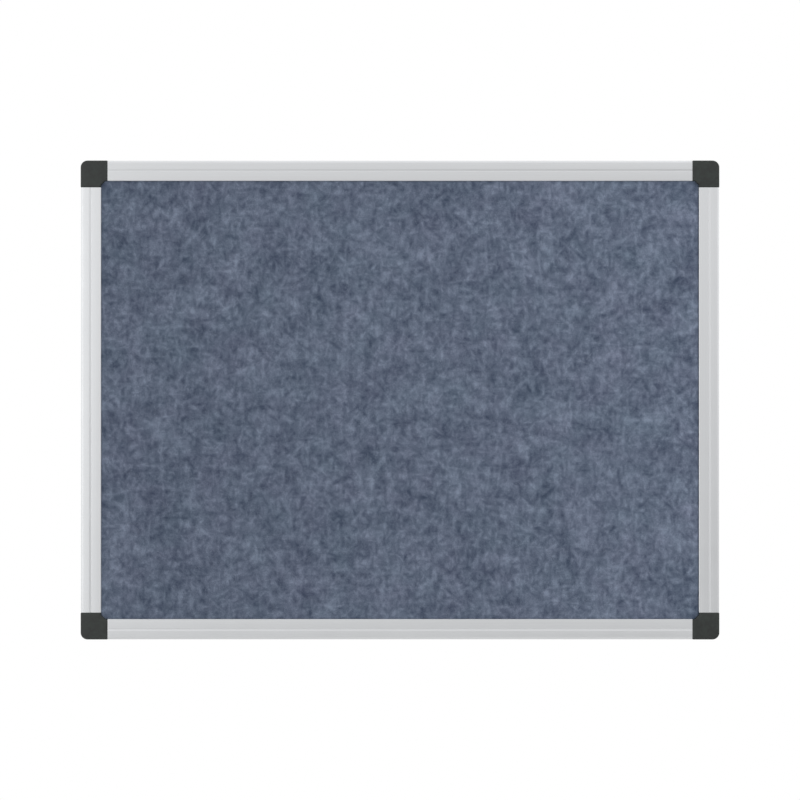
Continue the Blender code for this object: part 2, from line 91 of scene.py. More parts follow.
OUTER_RADIUS = 2.5 * MM
NOSE_RADIUS = 0.7 * MM
DRAWN_EDGE = 0.25 * MM
GROOVE_FROM_EDGE = 8.0 * MM
GROOVE_WIDTH = 2.2 * MM
GROOVE_DEPTH = 0.35 * MM
GROOVE_SLOPE_SHARE = 0.8
GROOVE_EDGE = 0.12 * MM
SCREW_PLACE = 38.75 * MM
SCREW_HOLE_RADIUS = 1.75 * MM
DIE_LINE_SPACING = 0.4 * MM
DIE_LINE_LENGTH = 300 * MM
DIE_LINE_DEPTH = 0.006 * MM
HAZE_SIZE = 25 * MM
ARC_STEPS = 8
ROUND_STEPS = 48
SHADE_ANGLE = math.radians(30)
WEB_FACE = RAIL_WALL + CHAMBER_WIDTH + RAIL_WALL
CHAMBER_MIDDLE = RAIL_WALL + CHAMBER_WIDTH / 2
FLANGE_FRONT = FLANGE_STANDOFF + RAIL_WALL
FACE_REAR = RAIL_DEPTH - RAIL_WALL


def corner_matrix(along_u, along_v):
    """Takes u, v and d at one corner of the board to the board's own frame."""
    inwards = along_u + along_v
    corner = Vector((-inwards.x * BOARD_WIDTH / 2, 0, -inwards.z * BOARD_HEIGHT / 2))
    turn = Matrix((along_u, along_v, along_u.cross(along_v))).transposed()
    return Matrix.Translation(corner) @ turn.to_4x4()


def filleted(corners):
    """The outline through corners (x, y, radius), with an arc wherever the radius isn't zero."""
    outline = []
    for at, (x, y, radius) in enumerate(corners):
        corner = Vector((x, y))
        if radius <= 0:
            outline.append(corner)
            continue
        before = (Vector(corners[at - 1][:2]) - corner).normalized()
        after = (Vector(corners[(at + 1) % len(corners)][:2]) - corner).normalized()
        half = before.angle(after) / 2
        centre = corner + (before + after).normalized() * radius / math.sin(half)
        start = corner + before * radius / math.tan(half) - centre
        turn = start.angle_signed(corner + after * radius / math.tan(half) - centre)
        for step in range(ARC_STEPS + 1):
            outline.append(centre + Matrix.Rotation(-turn * step / ARC_STEPS, 2) @ start)
    return outline


def rectangle(low, high, radius=0.0):
    (x0, y0), (x1, y1) = low, high
    return filleted([(x0, y0, radius), (x1, y0, radius), (x1, y1, radius), (x0, y1, radius)])


def circle(middle, radius):
    angles = (math.tau * step / ROUND_STEPS for step in range(ROUND_STEPS))
    return [Vector(middle) + Vector((math.cos(angle), math.sin(angle))) * radius for angle in angles]


def lofted(sections, plane="uv"):
    """A closed mesh through outlines of equally many points, each at its own height.

    In plane "uv" the outlines lie flat and the height is d. In plane "ud" they stand across a rail and
    the height is v. Its UV map "drawn" holds metres: along the height, and round the outline.
    """
    shape = bmesh.new()
    drawn = shape.loops.layers.uv.new("drawn")
    rings = []
    for outline, height in sections:
        points = [(x, y, height) if plane == "uv" else (x, height, y) for x, y in outline]
        rings.append([shape.verts.new(point) for point in points])
    heights = [height for _, height in sections]
    for lower, upper, low, high in zip(rings, rings[1:], heights, heights[1:]):
        round_at = 0.0
        for at in range(len(lower)):
            after = (at + 1) % len(lower)
            wide = (lower[after].co - lower[at].co).length
            face = shape.faces.new((lower[at], lower[after], upper[after], upper[at]))
            places = ((low, round_at), (low, round_at + wide), (high, round_at + wide), (high, round_at))
            for corner, spot in zip(face.loops, places):
                corner[drawn].uv = spot
            round_at += wide
    for ring in (rings[0], rings[-1]):
        for corner in shape.faces.new(ring).loops:
            corner[drawn].uv = (corner.vert.co.x, corner.vert.co.z)
    bmesh.ops.recalc_face_normals(shape, faces=shape.faces)
    made = bpy.data.meshes.new("lofted")
    shape.to_mesh(made)
    shape.free()
    return made


def carved(mesh, joins=(), cuts=()):
    """The mesh with others joined to it and then others cut from it, smooth except at its edges."""
    stock = bpy.data.objects.new("stock", mesh)
    bpy.context.scene.collection.objects.link(stock)
    tools = []
    for operation, others in (("UNION", joins), ("DIFFERENCE", cuts)):
        for other in others:
            tool = bpy.data.objects.new("tool", other)
            bpy.context.scene.collection.objects.link(tool)
            tools.append(tool)
            step = stock.modifiers.new(operation, "BOOLEAN")
            step.operation = operation
            step.object = tool
    graph = bpy.context.evaluated_depsgraph_get()
    made = bpy.data.meshes.new_from_object(stock.evaluated_get(graph))
    for old in [stock, *tools]:
        bpy.data.objects.remove(old, do_unlink=True)
    made.shade_smooth()
    made.set_sharp_from_angle(angle=SHADE_ANGLE)
    return made


def rail_outline():
    """The section's outside in u and d, from the wall-side foot up the outer face and round."""
    groove_low = GROOVE_FROM_EDGE + GROOVE_WIDTH * GROOVE_SLOPE_SHARE
    groove_end = GROOVE_FROM_EDGE + GROOVE_WIDTH
    hook_front = RAIL_DEPTH - LIP_HEIGHT
    hook_inner = RAIL_FACE - RAIL_WALL
    foot = WEB_FACE + REAR_LIP_REACH
    return filleted(
        [
            (0, 0, DRAWN_EDGE),
            (0, RAIL_DEPTH, OUTER_RADIUS),
            (GROOVE_FROM_EDGE, RAIL_DEPTH, GROOVE_EDGE),
            (groove_low, RAIL_DEPTH - GROOVE_DEPTH, GROOVE_EDGE),
            (groove_end, RAIL_DEPTH, GROOVE_EDGE),
            (RAIL_FACE, RAIL_DEPTH, NOSE_RADIUS),
            (RAIL_FACE, hook_front, DRAWN_EDGE),
            (hook_inner, hook_front, DRAWN_EDGE),
            (hook_inner, FACE_REAR, DRAWN_EDGE),
            (WEB_FACE, FACE_REAR, DRAWN_EDGE),
            (WEB_FACE, FLANGE_FRONT, DRAWN_EDGE),
            (foot, FLANGE_FRONT, DRAWN_EDGE),
            (foot, 0, DRAWN_EDGE),
            (foot - RAIL_WALL, 0, DRAWN_EDGE),
            (foot - RAIL_WALL, FLANGE_STANDOFF, DRAWN_EDGE),
            (RAIL_WALL, FLANGE_STANDOFF, DRAWN_EDGE),
            (RAIL_WALL, 0, DRAWN_EDGE),
        ]
    )


def rail_mesh(length):
    """A rail cut square between two corners, its chamber running through and two holes in its back."""
    end = length - RAIL_START
    chamber = rectangle(
        (RAIL_WALL, FLANGE_FRONT),
        (RAIL_WALL + CHAMBER_WIDTH, FACE_REAR),
        CHAMBER_RADIUS,
    )
    cuts = [lofted([(chamber, RAIL_START - OVERRUN), (chamber, end + OVERRUN)], "ud")]
    for place in (SCREW_PLACE, length - SCREW_PLACE):
        hole = circle((CHAMBER_MIDDLE, place), SCREW_HOLE_RADIUS)
        cuts.append(lofted([(hole, FLANGE_STANDOFF - OVERRUN), (hole, FLANGE_FRONT + OVERRUN)]))
    outline = rail_outline()
    return carved(lofted([(outline, RAIL_START), (outline, end)], "ud"), cuts=cuts)


def linear(colour):
    """An sRGB hex colour, such as "#808080", as linear red, green, blue and 1."""
    parts = [int(colour[at : at + 2], 16) / 255 for at in (1, 3, 5)]
    return (*(part / 12.92 if part <= 0.04045 else ((part + 0.055) / 1.055) ** 2.4 for part in parts), 1)


def new_material(name):
    """An empty material and its node tree."""
    made = bpy.data.materials.new(name)
    made.use_nodes = True
    made.node_tree.nodes.clear()
    return made, made.node_tree


def add(tree, kind, inputs=(), **settings):
    """Adds a node with its settings.

    inputs holds pairs of a socket's name or number and a value or a link. enumerate() of values and links
    fills the node's sockets in their own order.
    """
    made = tree.nodes.new("ShaderNode" + kind)
    for name, value in settings.items():
        setattr(made, name, value)
    for key, value in inputs:
        if isinstance(value, bpy.types.NodeSocket):
            tree.links.new(value, made.inputs[key])
        else:
            made.inputs[key].default_value = value
    return made


def anodised_aluminium():
    """Satin anodised aluminium: a grey-white metal with fine die lines drawn along it.

    They spread a reflection across the rail. Real ones are about 0.1 mm apart, drawn coarser to show.
    """
    made, tree = new_material("satin_anodised_aluminium")
    place = add(tree, "TexCoord")
    along = add(
        tree,
        "Mapping",
        [("Vector", place.outputs["UV"]), ("Scale", (1 / DIE_LINE_LENGTH, 1 / DIE_LINE_SPACING, 1))],
    )
    lines = add(
        tree,
        "TexNoise",
        [("Vector", along.outputs[0]), ("Scale", 1), ("Detail", 3), ("Roughness", 0.6)],
        noise_dimensions="2D",
    ).outputs[0]
    haze = add(
        tree,
        "TexNoise",
        [("Vector", place.outputs["Object"]), ("Scale", 1 / HAZE_SIZE), ("Detail", 2)],
    ).outputs[0]
    tone = add(tree, "MixRGB", enumerate((lines, linear("#D2D3D5"), linear("#DCDEE0"))))
    rough = add(tree, "MapRange", enumerate((haze, 0.3, 0.7, 0.32, 0.38)))
    bump = add(tree, "Bump", [("Strength", 0.5), ("Distance", DIE_LINE_DEPTH), ("Height", lines)])
    tangent = add(tree, "Tangent", direction_type="UV_MAP", uv_map="drawn")
    shader = add(
        tree,
        "BsdfPrincipled",
        [
            ("Base Color", tone.outputs[0]),
            ("Metallic", 1),
            ("Roughness", rough.outputs[0]),
            ("Anisotropic", 0.5),
            ("Anisotropic Rotation", 0.25),
            ("Normal", bump.outputs[0]),
            ("Tangent", tangent.outputs[0]),
        ],
    )
    add(tree, "OutputMaterial", [("Surface", shader.outputs[0])])
    return made


def dressed(name, mesh, material, body, nodes, matrix=Matrix.Identity(4)):
    """A new piece that stands for CAD nodes and moves with their body."""
    piece = bpy.data.objects.new(name, mesh)
    bpy.context.scene.collection.objects.link(piece)
    piece.matrix_world = matrix
    mesh.materials.clear()
    mesh.materials.append(material)
    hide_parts(*nodes)
    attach(piece, body)
    return piece


aluminium = anodised_aluminium()
for along_u, along_v, side, length in CORNERS.values():
    dressed(
        "extrusion_" + side,
        rail_mesh(length),
        aluminium,
        "board",
        ["rail_" + side],
        corner_matrix(along_u, along_v),
    )

# Backing sheet
#
# A 0.8 mm sheet of grey board made from recycled paper, slid into the rails' channel behind the panel.
# It is a little bowed, with pressed-in fibres, darker specks and the soft ripple of the board machine.
BACKING_LOW, BACKING_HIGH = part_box("backing_sheet")
BACKING_CELL = 6 * MM
BACKING_BOW = 0.35 * MM
BACKING_RIPPLE = 0.12 * MM
RIPPLE_ACROSS = 90 * MM
RIPPLE_UP = 35 * MM
SHEET_SHADE_ANGLE = math.radians(60)
MOTTLE_SIZE = 18 * MM
PALE_PAPER_FIBRE = (5 * MM, 0.8 * MM)
DARK_PAPER_FIBRE = (4 * MM, 0.8 * MM)
PAPER_RELIEF = 0.05 * MM
SPECK_SPACING = 9 * MM
NOISE_STEP = 0.37
NOISE_RISE = 0.7


def bow(x, z):
    """0 at the panel's edges and 1 at its middle."""
    across = math.cos(math.pi * x / (BACKING_HIGH.x - BACKING_LOW.x))
    return across * math.cos(math.pi * z / (BACKING_HIGH.z - BACKING_LOW.z))


def sheet_mesh(low, high, cell, front, rear=None):
    """A closed sheet of the panel, gridded, with relief (x, z) -> metres outwards on one or both faces."""
    columns = round((high.x - low.x) / cell)
    rows = round((high.z - low.z) / cell)
    shape = bmesh.new()

    def grid(y, relief):
        """Makes one gridded face and returns its rim, once round."""
        lines = []
        for row in range(rows + 1):
            z = low.z + (high.z - low.z) * row / rows
            xs = [low.x + (high.x - low.x) * column / columns for column in range(columns + 1)]
            lines.append([shape.verts.new((x, y + relief(x, z), z)) for x in xs])
        for lower, upper in zip(lines, lines[1:]):
            for at in range(columns):
                shape.faces.new((lower[at], lower[at + 1], upper[at + 1], upper[at]))
        return (
            lines[0][:-1]
            + [line[-1] for line in lines[:-1]]
            + lines[-1][:0:-1]
            + [line[0] for line in lines[:0:-1]]
        )

    front_rim = grid(low.y, lambda x, z: -front(x, z))
    if rear:
        rear_rim = grid(high.y, rear)
    else:
        rear_rim = [shape.verts.new((vert.co.x, high.y, vert.co.z)) for vert in front_rim]
        shape.faces.new(rear_rim)
    for at in range(len(front_rim)):
        after = (at + 1) % len(front_rim)
        shape.faces.new((front_rim[at], rear_rim[at], rear_rim[after], front_rim[after]))
    bmesh.ops.recalc_face_normals(shape, faces=shape.faces)
    made = bpy.data.meshes.new("sheet")
    shape.to_mesh(made)
    shape.free()
    made.shade_smooth()
    made.set_sharp_from_angle(angle=SHEET_SHADE_ANGLE)
    return made


def backing_relief(x, z):
    """The sheet's bow towards the wall, with the board machine's ripple on it."""
    ripple = noise.noise(Vector((x / RIPPLE_ACROSS, z / RIPPLE_UP, 3)))
    return bow(x, z) * (BACKING_BOW + BACKING_RIPPLE * ripple)


def strokes(tree, place, turns, long, wide, operation, seed):
    """Short strokes in several directions over a flat sheet: the highest or lowest of turned noises.

    The seed and a stroke's number shift its noise, so that no two show the same place.
    """
    found = None
    for at, turn in enumerate(turns):
        laid = add(
            tree,
            "Mapping",
            [
                ("Vector", place),
                ("Location", (seed + at * NOISE_STEP, 0, seed * NOISE_RISE)),
                ("Rotation", (0, math.radians(turn), 0)),
                ("Scale", (long, long, wide)),
            ],
            vector_type="TEXTURE",
        )
        one = add(tree, "TexNoise", [("Vector", laid.outputs[0]), ("Scale", 1), ("Detail", 0)]).outputs[0]
        if found is None:
            found = one
        else:
            found = add(tree, "Math", [(0, found), (1, one)], operation=operation).outputs[0]
    return found


def grey_board():
    """Grey recycled board: a dull warm grey, mottled, with paper fibres and darker specks in it.

    Real paper fibres are about 0.03 mm wide, drawn as wide as small bundles to show.
    """
    made, tree = new_material("grey_recycled_board")
    place = add(tree, "TexCoord").outputs["Object"]
    mottle = add(tree, "TexNoise", [("Vector", place), ("Scale", 1 / MOTTLE_SIZE), ("Detail", 5)]).outputs[0]
    pale = strokes(tree, place, (10, 55, 100, 150), *PALE_PAPER_FIBRE, "MAXIMUM", 0.1)
    dark = strokes(tree, place, (30, 80, 125, 170), *DARK_PAPER_FIBRE, "MINIMUM", 0.2)
    speck = add(tree, "TexVoronoi", [("Vector", place), ("Scale", 1 / SPECK_SPACING)]).outputs["Distance"]
    # A pattern's shade begins to show at its first level and shows by its share at the second.
    colour = linear("#9A9890")
    for pattern, first, second, share, shade in (
        (mottle, 0.3, 0.7, 1, "#ADABA3"),
        (pale, 0.62, 0.78, 0.6, "#C9C6BC"),
        (dark, 0.38, 0.22, 0.6, "#6A675F"),
        (speck, 0.10, 0.06, 0.7, "#55524B"),
    ):
        amount = add(tree, "MapRange", enumerate((pattern, first, second, 0, share))).outputs[0]
        colour = add(tree, "MixRGB", enumerate((amount, colour, linear(shade)))).outputs[0]
    lift = add(tree, "Math", [(0, pale), (1, dark)], operation="ADD").outputs[0]
    bump = add(tree, "Bump", [("Strength", 0.5), ("Distance", PAPER_RELIEF), ("Height", lift)])
    shader = add(
        tree,
        "BsdfPrincipled",
        [
            ("Base Color", colour),
            ("Roughness", 0.85),
            ("Specular IOR Level", 0.35),
            ("Normal", bump.outputs[0]),
        ],
    )
    add(tree, "OutputMaterial", [("Surface", shader.outputs[0])])
    return made


dressed(
    "grey_board_sheet",
    sheet_mesh(BACKING_LOW, BACKING_HIGH, BACKING_CELL, lambda x, z: -backing_relief(x, z), backing_relief),
    grey_board(),
    "board",
    ["backing_sheet"],
)

# Softboard core
#
# A 5.4 mm sheet of wood-fibre softboard between the backing and the felt, which the pins go into. It is
# hidden in the finished board, and its edges lie in the rails' channel.
PULP_SIZE = 5 * MM
PULP_RELIEF = 0.3 * MM


def wood_fibre_softboard():
    """Wood-fibre softboard: pressed brown fibre, mottled and matt, with a coarse fibrous bump."""
    made, tree = new_material("pressed_wood_fibre_softboard")
    place = add(tree, "TexCoord").outputs["Object"]
    pulp = add(
        tree,
        "TexNoise",
        [("Vector", place), ("Scale", 1 / PULP_SIZE), ("Detail", 6), ("Roughness", 0.7), ("Distortion", 0.8)],
    ).outputs[0]
    amount = add(tree, "MapRange", enumerate((pulp, 0.3, 0.7))).outputs[0]
    tone = add(tree, "MixRGB", enumerate((amount, linear("#8A6A48"), linear("#C4A378"))))
    bump = add(tree, "Bump", [("Strength", 0.8), ("Distance", PULP_RELIEF), ("Height", pulp)])
    shader = add(
        tree,
        "BsdfPrincipled",
        [("Base Color", tone.outputs[0]), ("Roughness", 0.9), ("Normal", bump.outputs[0])],
    )
    add(tree, "OutputMaterial", [("Surface", shader.outputs[0])])
    return made


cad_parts["softboard_core"].material_slots[0].material = wood_fibre_softboard()

# Felt facing
#
# The face of the panel: 2 mm needle felt, a blue-grey heather of light and dark fibres, stretched over
# the softboard with its edges under the rails' lips. It was cut to the size of the panel.
FELT_LOW, FELT_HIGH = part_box("felt_facing")
FELT_CELL = 1.8 * MM
FELT_LUMPS = 0.10 * MM
LUMP_SIZE = 6 * MM
FINE_LUMP_SIZE = 3 * MM
HUE_SIZE = 38 * MM
CLOUD_SIZE = 24 * MM
TUFT = (13 * MM, 4.9 * MM)
HAIR = (4 * MM, 0.45 * MM)
FLECK_SIZE = 1.2 * MM
HAIR_RELIEF = 0.1 * MM
MEAN_TONE = 0.51
TONE_POWER = 1.4


def felt_relief(x, z):
    """Soft lumps about 6 mm apart, with finer ones on them."""
    coarse = noise.noise(Vector((x / LUMP_SIZE, z / LUMP_SIZE, 0)))
    fine = noise.noise(Vector((x / FINE_LUMP_SIZE, z / FINE_LUMP_SIZE, 7)))
    return FELT_LUMPS * (0.6 * coarse + 0.4 * fine)


def needle_felt():
    """Heathered needle felt: a matt cloth of mixed fibres, with a faint sheen where it is seen aslant.

    Tufts of lighter and darker fibre lie every way in clouds 10 to 40 mm across, with hairs and flecks
    over them. Real fibres are about 0.03 mm thick, so the hairs are drawn much wider to show.
    """
    made, tree = new_material("heathered_needle_felt")
    place = add(tree, "TexCoord").outputs["Object"]
    hue = add(
        tree,
        "TexNoise",
        [("Vector", place), ("Scale", 1 / HUE_SIZE), ("Detail", 2), ("Roughness", 0.7)],
    ).outputs[0]
    clouds = add(
        tree,
        "TexNoise",
        [("Vector", place), ("Scale", 1 / CLOUD_SIZE), ("Detail", 2), ("Roughness", 0.9)],
    ).outputs[0]
    light = strokes(tree, place, (3, 47, 86, 95, 131, 176), *TUFT, "MAXIMUM", 0.1)
    dark = strokes(tree, place, (0, 41, 82, 91, 99, 137), *TUFT, "MINIMUM", 0.3)
    hairs = strokes(tree, place, (22, 61, 112, 158), *HAIR, "MAXIMUM", 0.5)
    flecks = add(
        tree,
        "TexNoise",
        [("Vector", place), ("Scale", 1 / FLECK_SIZE), ("Detail", 1), ("Roughness", 0.6), ("Distortion", 1)],
    ).outputs[0]
    # Each pattern moves the tone by its share of how far it is from its own middle.
    level = MEAN_TONE
    for part, middle, share in (
        (clouds, 0.5, 0.95),
        (light, 0.64, 1.0),
        (dark, 0.36, 0.9),
        (flecks, 0.5, 0.45),
        (hairs, 0.61, 0.7),
    ):
        shift = add(tree, "Math", [(0, part), (1, share), (2, -middle * share)], operation="MULTIPLY_ADD")
        level = add(tree, "Math", [(0, level), (1, shift.outputs[0])], operation="ADD").outputs[0]
    # The power keeps the dark tufts from standing out more than the light ones.
    level = add(tree, "Math", [(0, level), (1, TONE_POWER)], operation="POWER").outputs[0]
    dark_fibre, pale_fibre = (
        add(tree, "MixRGB", enumerate((hue, linear(violet), linear(teal)))).outputs[0]
        for violet, teal in (("#3C4257", "#364455"), ("#81879C", "#7A899A"))
    )
    colour = add(tree, "MixRGB", enumerate((level, dark_fibre, pale_fibre))).outputs[0]
    lift = add(tree, "Math", [(0, level), (1, hairs)], operation="ADD").outputs[0]
    bump = add(tree, "Bump", [("Strength", 0.35), ("Distance", HAIR_RELIEF), ("Height", lift)])
    shader = add(
        tree,
        "BsdfPrincipled",
        [
            ("Base Color", colour),
            ("Roughness", 0.95),
            ("Specular IOR Level", 0.15),
            ("Sheen Weight", 0.08),
            ("Sheen Roughness", 0.5),
            ("Normal", bump.outputs[0]),
        ],
    )
    add(tree, "OutputMaterial", [("Surface", shader.outputs[0])])
    return made


felt = dressed(
    "felt_sheet",
    sheet_mesh(FELT_LOW, FELT_HIGH, FELT_CELL, felt_relief),
    needle_felt(),
    "board",
    ["felt_facing"],
)

# Loose fibres on the felt
#
# The needles leave single fibres lying on the face and arching out of it: polyester, pale and dark,
# 4 to 14 mm long. Real ones are about 0.03 mm thick, drawn two to four times that.
FIBRE_COUNT = 4000
FIBRE_RADIUS = 0.05 * MM
THICKNESS_SHARES = (0.6, 1.2)
FIBRE_CURL = 1.75
FIBRE_WANDER = 1.25
FIBRE_STEPS = 7
FIBRE_SIDES = 3
FIBRE_SHORTEST = 4 * MM
FIBRE_LONGEST = 14 * MM
FIBRE_LIFT = 0.14 * MM
FIBRE_ARCH = 0.55 * MM
ARCHED_SHARE = 0.08
FIBRE_MARGIN = RAIL_FACE + 2 * MM
CRIMP_SIZE = 1 * MM


def fibre_mesh():
    """All the fibres as thin three-sided tubes, wandering over the face with their ends tucked in.

    A fibre's curl is how far it turns from end to end, in radians, and its steps wander about that turn.
    """
    draw = random.Random(11)
    reach_x = BOARD_WIDTH / 2 - FIBRE_MARGIN
    reach_z = BOARD_HEIGHT / 2 - FIBRE_MARGIN
    points = []
    faces = []
    for _ in range(FIBRE_COUNT):
        x = draw.uniform(-reach_x, reach_x)
        z = draw.uniform(-reach_z, reach_z)
        heading = draw.uniform(0, math.tau)
        curl = draw.gauss(0, FIBRE_CURL)
        step = draw.uniform(FIBRE_SHORTEST, FIBRE_LONGEST) / FIBRE_STEPS
        lift = FIBRE_ARCH if draw.random() < ARCHED_SHARE else FIBRE_LIFT
        thick = FIBRE_RADIUS * draw.uniform(*THICKNESS_SHARES)
        first = len(points)
        for at in range(FIBRE_STEPS + 1):
            x_in = max(-reach_x, min(reach_x, x))
            z_in = max(-reach_z, min(reach_z, z))
            height = lift * math.sin(math.pi * at / FIBRE_STEPS) - FIBRE_RADIUS
            middle = Vector((x_in, FELT_LOW.y - felt_relief(x_in, z_in) - height, z_in))
            across = Vector((-math.sin(heading), 0, math.cos(heading)))
            for side in range(FIBRE_SIDES):
                angle = math.tau * side / FIBRE_SIDES
                points.append(middle + (across * math.cos(angle) + Vector((0, math.sin(angle), 0))) * thick)
            x += math.cos(heading) * step
            z += math.sin(heading) * step
            heading += (curl + draw.gauss(0, FIBRE_WANDER)) / FIBRE_STEPS
        for at in range(FIBRE_STEPS):
            for side in range(FIBRE_SIDES):
                low = first + at * FIBRE_SIDES
                after = (side + 1) % FIBRE_SIDES
                faces.append((low + side, low + FIBRE_SIDES + side, low + FIBRE_SIDES + after, low + after))
        last = first + FIBRE_STEPS * FIBRE_SIDES
        faces.append(tuple(first + side for side in range(FIBRE_SIDES)))
        faces.append(tuple(last + side for side in reversed(range(FIBRE_SIDES))))
    made = bpy.data.meshes.new("fibres")
    made.from_pydata(points, [], faces)
    made.validate()
    made.shade_smooth()
    return made


def polyester_fibre():
    """Drawn polyester fibre: each one a single shade from dark slate to pale blue-grey, faintly glossy."""
    made, tree = new_material("drawn_polyester_fibre")
    island = add(tree, "NewGeometry").outputs["Random Per Island"]
    shade = add(tree, "ValToRGB", [("Fac", island)])
    shade.color_ramp.interpolation = "CONSTANT"
    stops = ((0.0, "#454D60"), (0.3, "#535C70"), (0.5, "#6B7084"), (0.68, "#737F90"), (0.85, "#8791A3"))
    while len(shade.color_ramp.elements) < len(stops):
        shade.color_ramp.elements.new(0.5)
    for stop, (spot, colour) in zip(shade.color_ramp.elements, stops):
        stop.position = spot
        stop.color = linear(colour)
    place = add(tree, "TexCoord").outputs["Object"]
    crimp = add(tree, "TexNoise", [("Vector", place), ("Scale", 1 / CRIMP_SIZE), ("Detail", 1)]).outputs[0]
    level = add(tree, "MapRange", enumerate((crimp, 0.3, 0.7, 0.85, 1.15))).outputs[0]
    colour = add(tree, "VectorMath", [(0, shade.outputs[0]), ("Scale", level)], operation="SCALE").outputs[0]
    shader = add(tree, "BsdfPrincipled", [("Base Color", colour), ("Roughness", 0.6)])
    add(tree, "OutputMaterial", [("Surface", shader.outputs[0])])
    return made


fibres = bpy.data.objects.new("felt_fibres", fibre_mesh())
bpy.context.scene.collection.objects.link(fibres)
fibres.data.materials.append(polyester_fibre())
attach(fibres, "board")

# Corner bodies
#
# Moulded ABS, one at each corner under its cap: a tray that closes the rails' ends, with a boss and
# pocket for the wall screw, two sockets for the cap's pins, and a tongue into each rail.
GRAIN_SIZE = 0.35 * MM
GRAIN_DEPTH = 0.02 * MM
FLOW_SIZE = 6 * MM
GLOSS_SPREAD = 0.07
BODY_SOFTENED = 0.25 * MM


def moulded_abs(name, dark, pale, rough, softened):
    """Charcoal ABS from a spark-eroded mould: near black, an even fine grain, a dull sheen.

    The real grain is about 0.1 mm, drawn coarser to show. softened rounds the shading of cut edges.
    """
    made, tree = new_material(name)
    place = add(tree, "TexCoord").outputs["Object"]
    grain = add(tree, "TexNoise", [("Vector", place), ("Scale", 1 / GRAIN_SIZE), ("Detail", 2)]).outputs[0]
    flow = add(
        tree,
        "TexNoise",
        [("Vector", place), ("Scale", 1 / FLOW_SIZE), ("Detail", 2), ("Roughness", 0.7), ("Distortion", 0.6)],
    ).outputs[0]
    amount = add(tree, "MapRange", enumerate((flow, 0.3, 0.7))).outputs[0]
    tone = add(tree, "MixRGB", enumerate((amount, linear(dark), linear(pale))))
    mottle = add(tree, "Math", [(0, flow), (1, grain)], operation="MULTIPLY").outputs[0]
    dull = add(tree, "MapRange", enumerate((mottle, 0.15, 0.35, rough - GLOSS_SPREAD, rough + GLOSS_SPREAD)))
    edge = add(tree, "Bevel", [("Radius", softened)], samples=4)
    bump = add(
        tree,
        "Bump",
        [
            ("Strength", 0.6),
            ("Distance", GRAIN_DEPTH),
            ("Height", grain),
            ("Normal", edge.outputs[0]),
        ],
    )
    shader = add(
        tree,
        "BsdfPrincipled",
        [
            ("Base Color", tone.outputs[0]),
            ("Roughness", dull.outputs[0]),
            ("IOR", 1.54),
            ("Normal", bump.outputs[0]),
        ],
    )
    add(tree, "OutputMaterial", [("Surface", shader.outputs[0])])
    return made


body_abs = moulded_abs("moulded_abs_corner_body", "#141816", "#1C201E", 0.5, BODY_SOFTENED)
for name in CORNERS:
    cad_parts["corner_body_" + name].material_slots[0].material = body_abs

# Rail screws
#
# Eight zinc-plated steel self-tapping screws, 3.5 by 9 mm, with pan heads and a cross recess, driven
# through each rail's rear wall into the tongue inside it.
HEAD_RADIUS = 2.6 * MM
HEAD_SUNK = 0.4 * MM
HEAD_HEIGHT = 1.1 * MM
HEAD_RIM = 0.35 * MM
SHANK_RADIUS = 1.45 * MM
SCREW_END = 9.4 * MM
SCREW_TIP = 1.8 * MM
SCREW_TIP_RADIUS = 0.4 * MM
RECESS_LENGTH = 2.9 * MM
RECESS_WIDTH = 0.62 * MM
RECESS_DEPTH = 0.85 * MM
RECESS_TAPER = 0.35
RECESS_TURN = 1.5
CROWN_START = math.radians(12)
ZINC_CLOUD = 1.2 * MM
ZINC_RELIEF = 0.01 * MM


def screw_mesh():
    """A screw on the u and v origin with its head to the wall."""
    head_top = HEAD_SUNK + HEAD_HEIGHT
    dome = HEAD_HEIGHT - HEAD_RIM
    profile = []
    for step in range(ARC_STEPS + 1):
        angle = CROWN_START + (math.pi / 2 - CROWN_START) * step / ARC_STEPS
        profile.append((HEAD_RADIUS * math.sin(angle), head_top - HEAD_RIM - dome * math.cos(angle)))
    profile += [
        (HEAD_RADIUS, head_top - DRAWN_EDGE / 2),
        (HEAD_RADIUS - DRAWN_EDGE / 2, head_top),
        (SHANK_RADIUS, head_top),
        (SHANK_RADIUS, SCREW_END - SCREW_TIP),
        (SCREW_TIP_RADIUS, SCREW_END),
    ]
    blank = lofted([(circle((0, 0), radius), height) for radius, height in profile])
    wings = []
    for long, short in ((RECESS_LENGTH, RECESS_WIDTH), (RECESS_WIDTH, RECESS_LENGTH)):
        half = Vector((long, short)) / 2
        deep = Vector((min(long, short), min(long, short))) / 2 + half * RECESS_TAPER
        deep = Vector((min(deep.x, half.x), min(deep.y, half.y)))
        wings.append(
            lofted(
                [
                    (rectangle(-half, half), HEAD_SUNK - OVERRUN),
                    (rectangle(-half, half), HEAD_SUNK),
                    (rectangle(-deep, deep), HEAD_SUNK + RECESS_DEPTH),
                ]
            )
        )
    return carved(blank, cuts=wings)


